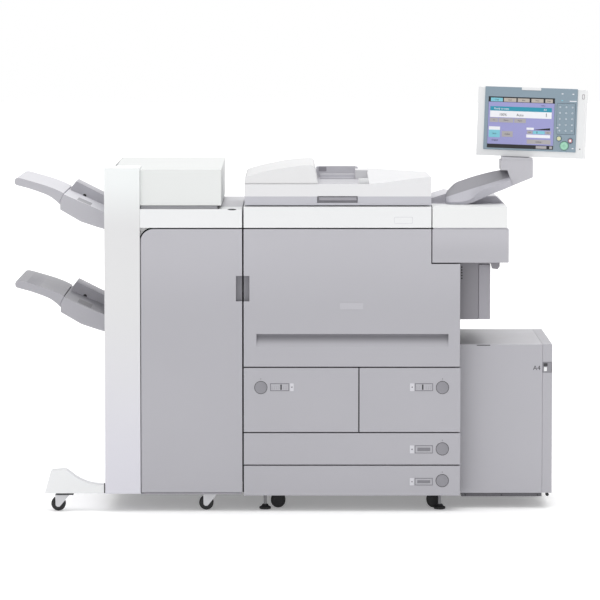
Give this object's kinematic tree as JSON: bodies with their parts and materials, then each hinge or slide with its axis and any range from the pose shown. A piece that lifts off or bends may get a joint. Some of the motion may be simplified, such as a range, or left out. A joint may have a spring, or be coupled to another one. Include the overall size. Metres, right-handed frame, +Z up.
{
  "type": "photocopier",
  "caption": "Floor-standing production photocopier with a document feeder, a touch panel on a swing arm, paper drawers, a stacking finisher and a side paper deck.",
  "frame": {"origin": "on the floor, under the middle of the machine's footprint", "axes": "+X to the right seen from the front, +Y from the front towards the back, +Z up"},
  "size_m": [1.8584, 0.7616, 1.3651],
  "materials": {
    "grey_shell": "fine-textured grey",
    "white_shell": "fine-textured white",
    "pale_shell": "fine-textured pale grey",
    "dark_trim": "satin",
    "zinc_sheet": "zinc plated",
    "bright_steel": "nickel plated",
    "black_rubber": "matt",
    "foot_rubber": "matt",
    "blue_bezel": "satin",
    "screen": "gloss",
    "platen": "clear",
    "start_green": "translucent",
    "drum_coating": "mirror smooth",
    "toner_case": "satin",
    "heat_sleeve": "satin",
    "silicone": "satin"
  },
  "bodies": {
    "machine": {"main_frame": "zinc_sheet", "rear_cover": "grey_shell", "reader_housing": "white_shell", "platen_glass": "platen", "panel_base_cover": "white_shell", "panel_base_housing": "pale_shell", "finisher_frame": "zinc_sheet", "finisher_column": "white_shell", "finisher_top_cover": "white_shell", "finisher_foot": "white_shell", "deck_casing": "grey_shell", "levelling_foot_1": "foot_rubber", "levelling_foot_2": "foot_rubber"},
    "front_cover": {"front_door": "grey_shell"},
    "finisher_cover": {"finisher_door": "grey_shell"},
    "left_drawer": {"left_deck": "grey_shell"},
    "right_drawer": {"right_deck": "grey_shell"},
    "upper_drawer": {"upper_cassette": "grey_shell"},
    "lower_drawer": {"lower_cassette": "grey_shell"},
    "left_release": {"left_deck_button": "dark_trim"},
    "right_release": {"right_deck_button": "dark_trim"},
    "upper_release": {"upper_cassette_button": "dark_trim"},
    "lower_release": {"lower_cassette_button": "dark_trim"},
    "carriage": {"scan_carriage": "dark_trim"},
    "side_cover": {"side_path_door": "grey_shell"},
    "panel_arm": {"arm": "pale_shell", "neck": "pale_shell"},
    "control_panel": {"panel_case": "white_shell", "panel_bezel": "blue_bezel", "lcd_screen": "screen"},
    "keys": {"key_mat": "blue_bezel"},
    "start": {"start_key": "start_green"},
    "feeder": {"adf_base": "white_shell", "document_tray": "pale_shell"},
    "feed_cover": {"adf_feed_cover": "white_shell"},
    "guide_front": {"front_guide": "white_shell"},
    "guide_rear": {"rear_guide": "white_shell"},
    "drum": {"photo_drum": "drum_coating"},
    "bottle": {"toner_bottle": "toner_case"},
    "hot_roller": {"heat_roller": "heat_sleeve"},
    "soft_roller": {"pressure_roller": "silicone"},
    "hood": {"finisher_hood": "white_shell"},
    "tray_high": {"upper_tray": "pale_shell", "upper_tray_wing": "pale_shell"},
    "tray_low": {"lower_tray": "pale_shell", "lower_tray_wing": "pale_shell"},
    "side_drawer": {"deck_compartment": "grey_shell"},
    "side_release": {"deck_button": "dark_trim"},
    "fork_front_left": {"caster_fork_front_left": "bright_steel"},
    "wheel_front_left": {"caster_wheel_front_left": "black_rubber"},
    "fork_front_right": {"caster_fork_front_right": "bright_steel"},
    "wheel_front_right": {"caster_wheel_front_right": "black_rubber"},
    "fork_rear_left": {"caster_fork_rear_left": "bright_steel"},
    "wheel_rear_left": {"caster_wheel_rear_left": "black_rubber"},
    "fork_rear_right": {"caster_fork_rear_right": "bright_steel"},
    "wheel_rear_right": {"caster_wheel_rear_right": "black_rubber"},
    "twin_wheel_1": {"main_caster_wheel_1": "black_rubber"},
    "twin_wheel_2": {"main_caster_wheel_2": "black_rubber"},
    "twin_wheel_3": {"main_caster_wheel_3": "black_rubber"},
    "twin_wheel_4": {"main_caster_wheel_4": "black_rubber"}
  },
  "joints": [
    {"name": "front_cover_hinge", "type": "hinge", "parent": "machine", "child": "front_cover", "pos_m": [0.50662, -0.36825, 0.66], "axis": [0, 0, 1], "range_deg": [0, 100]},
    {"name": "finisher_cover_hinge", "type": "hinge", "parent": "machine", "child": "finisher_cover", "pos_m": [-0.50989, -0.37325, 0.49], "axis": [0, 0, -1], "range_deg": [0, 100]},
    {"name": "left_drawer_slide", "type": "slide", "parent": "machine", "child": "left_drawer", "axis": [0, -1, 0], "range_m": [0, 0.45]},
    {"name": "left_release_press", "type": "slide", "parent": "left_drawer", "child": "left_release", "axis": [0, 1, 0], "range_m": [0, 0.003], "stiffness_N_per_m": 800, "springref_m": -0.0005},
    {"name": "right_drawer_slide", "type": "slide", "parent": "machine", "child": "right_drawer", "axis": [0, -1, 0], "range_m": [0, 0.45]},
    {"name": "right_release_press", "type": "slide", "parent": "right_drawer", "child": "right_release", "axis": [0, 1, 0], "range_m": [0, 0.003], "stiffness_N_per_m": 800, "springref_m": -0.0005},
    {"name": "upper_drawer_slide", "type": "slide", "parent": "machine", "child": "upper_drawer", "axis": [0, -1, 0], "range_m": [0, 0.45]},
    {"name": "upper_release_press", "type": "slide", "parent": "upper_drawer", "child": "upper_release", "axis": [0, 1, 0], "range_m": [0, 0.003], "stiffness_N_per_m": 800, "springref_m": -0.0005},
    {"name": "lower_drawer_slide", "type": "slide", "parent": "machine", "child": "lower_drawer", "axis": [0, -1, 0], "range_m": [0, 0.45]},
    {"name": "lower_release_press", "type": "slide", "parent": "lower_drawer", "child": "lower_release", "axis": [0, 1, 0], "range_m": [0, 0.003], "stiffness_N_per_m": 800, "springref_m": -0.0005},
    {"name": "carriage_slide", "type": "slide", "parent": "machine", "child": "carriage", "axis": [1, 0, 0], "range_m": [0, 0.4]},
    {"name": "side_cover_hinge", "type": "hinge", "parent": "machine", "child": "side_cover", "pos_m": [0.61042, 0.25875, 0.7], "axis": [0, 0, 1], "range_deg": [0, 80]},
    {"name": "arm_swing", "type": "hinge", "parent": "machine", "child": "panel_arm", "pos_m": [0.51662, -0.21725, 1], "axis": [0, 0, -1], "range_deg": [0, 30]},
    {"name": "panel_tilt", "type": "hinge", "parent": "panel_arm", "child": "control_panel", "pos_m": [0.71861, -0.14417, 1.22591], "axis": [-0.9504, 0.3101, 0.0227], "range_deg": [0, 25]},
    {"name": "keys_press", "type": "slide", "parent": "control_panel", "child": "keys", "axis": [0.3086, 0.9498, -0.0523], "range_m": [0, 0.001], "stiffness_N_per_m": 900, "springref_m": -0.0005},
    {"name": "start_press", "type": "slide", "parent": "control_panel", "child": "start", "axis": [0.3086, 0.9498, -0.0523], "range_m": [0, 0.0015], "stiffness_N_per_m": 500, "springref_m": -0.0008},
    {"name": "feeder_hinge", "type": "hinge", "parent": "machine", "child": "feeder", "pos_m": [0.11661, 0.14875, 0.9891], "axis": [-1, 0, 0], "range_deg": [0, 70]},
    {"name": "feed_cover_hinge", "type": "hinge", "parent": "feeder", "child": "feed_cover", "pos_m": [-0.18138, -0.11925, 1.0574], "axis": [0, -1, 0], "range_deg": [0, 70]},
    {"name": "guide_front_slide", "type": "slide", "parent": "feeder", "child": "guide_front", "axis": [0, 1, 0], "range_m": [0, 0.08]},
    {"name": "guide_rear_slide", "type": "slide", "parent": "feeder", "child": "guide_rear", "axis": [0, 1, 0], "range_m": [-0.08, 0]},
    {"name": "drum_turn", "type": "hinge", "parent": "machine", "child": "drum", "pos_m": [0.10662, -0.12925, 0.72], "axis": [0, 1, 0], "continuous": true},
    {"name": "bottle_turn", "type": "hinge", "parent": "machine", "child": "bottle", "pos_m": [-0.08839, -0.12925, 0.8], "axis": [0, 1, 0], "continuous": true},
    {"name": "hot_roller_turn", "type": "hinge", "parent": "machine", "child": "hot_roller", "pos_m": [0.32661, -0.12925, 0.715], "axis": [0, 1, 0], "continuous": true},
    {"name": "soft_roller_turn", "type": "hinge", "parent": "machine", "child": "soft_roller", "pos_m": [0.32661, -0.12925, 0.6705], "axis": [0, 1, 0], "continuous": true},
    {"name": "hood_hinge", "type": "hinge", "parent": "machine", "child": "hood", "pos_m": [-0.40338, 0.33575, 0.9774], "axis": [-1, 0, 0], "range_deg": [0, 60]},
    {"name": "tray_high_lift", "type": "slide", "parent": "machine", "child": "tray_high", "axis": [0, 0, 1], "range_m": [-0.12, 0]},
    {"name": "tray_low_lift", "type": "slide", "parent": "machine", "child": "tray_low", "axis": [0, 0, 1], "range_m": [-0.3, 0]},
    {"name": "side_drawer_slide", "type": "slide", "parent": "machine", "child": "side_drawer", "axis": [1, 0, 0], "range_m": [0, 0.3]},
    {"name": "side_release_press", "type": "slide", "parent": "side_drawer", "child": "side_release", "axis": [0, 1, 0], "range_m": [0, 0.003], "stiffness_N_per_m": 800, "springref_m": -0.0005},
    {"name": "swivel_front_left", "type": "hinge", "parent": "machine", "child": "fork_front_left", "pos_m": [-0.76238, -0.35175, 0.055], "axis": [0, 0, 1], "continuous": true},
    {"name": "roll_front_left", "type": "hinge", "parent": "fork_front_left", "child": "wheel_front_left", "pos_m": [-0.78389, -0.35175, 0.0235], "axis": [0, 1, 0], "continuous": true},
    {"name": "swivel_front_right", "type": "hinge", "parent": "machine", "child": "fork_front_right", "pos_m": [-0.28508, -0.32925, 0.055], "axis": [0, 0, 1], "continuous": true},
    {"name": "roll_front_right", "type": "hinge", "parent": "fork_front_right", "child": "wheel_front_right", "pos_m": [-0.30658, -0.32925, 0.0235], "axis": [0, 1, 0], "continuous": true},
    {"name": "swivel_rear_left", "type": "hinge", "parent": "machine", "child": "fork_rear_left", "pos_m": [-0.56339, 0.27575, 0.055], "axis": [0, 0, 1], "continuous": true},
    {"name": "roll_rear_left", "type": "hinge", "parent": "fork_rear_left", "child": "wheel_rear_left", "pos_m": [-0.58488, 0.27575, 0.0235], "axis": [0, 1, 0], "continuous": true},
    {"name": "swivel_rear_right", "type": "hinge", "parent": "machine", "child": "fork_rear_right", "pos_m": [-0.28508, 0.27575, 0.055], "axis": [0, 0, 1], "continuous": true},
    {"name": "roll_rear_right", "type": "hinge", "parent": "fork_rear_right", "child": "wheel_rear_right", "pos_m": [-0.30658, 0.27575, 0.0235], "axis": [0, 1, 0], "continuous": true},
    {"name": "twin_roll_1", "type": "hinge", "parent": "machine", "child": "twin_wheel_1", "pos_m": [-0.07439, -0.27125, 0.024], "axis": [0, 1, 0], "continuous": true},
    {"name": "twin_roll_2", "type": "hinge", "parent": "machine", "child": "twin_wheel_2", "pos_m": [0.43162, -0.27125, 0.024], "axis": [0, 1, 0], "continuous": true},
    {"name": "twin_roll_3", "type": "hinge", "parent": "machine", "child": "twin_wheel_3", "pos_m": [-0.07439, 0.26075, 0.024], "axis": [0, 1, 0], "continuous": true},
    {"name": "twin_roll_4", "type": "hinge", "parent": "machine", "child": "twin_wheel_4", "pos_m": [0.43162, 0.26075, 0.024], "axis": [0, 1, 0], "continuous": true}
  ],
  "couplings": [
    {"joint": "guide_rear_slide", "follows": "guide_front_slide", "ratio": -1},
    {"joint": "soft_roller_turn", "follows": "hot_roller_turn", "ratio": -1}
  ]
}
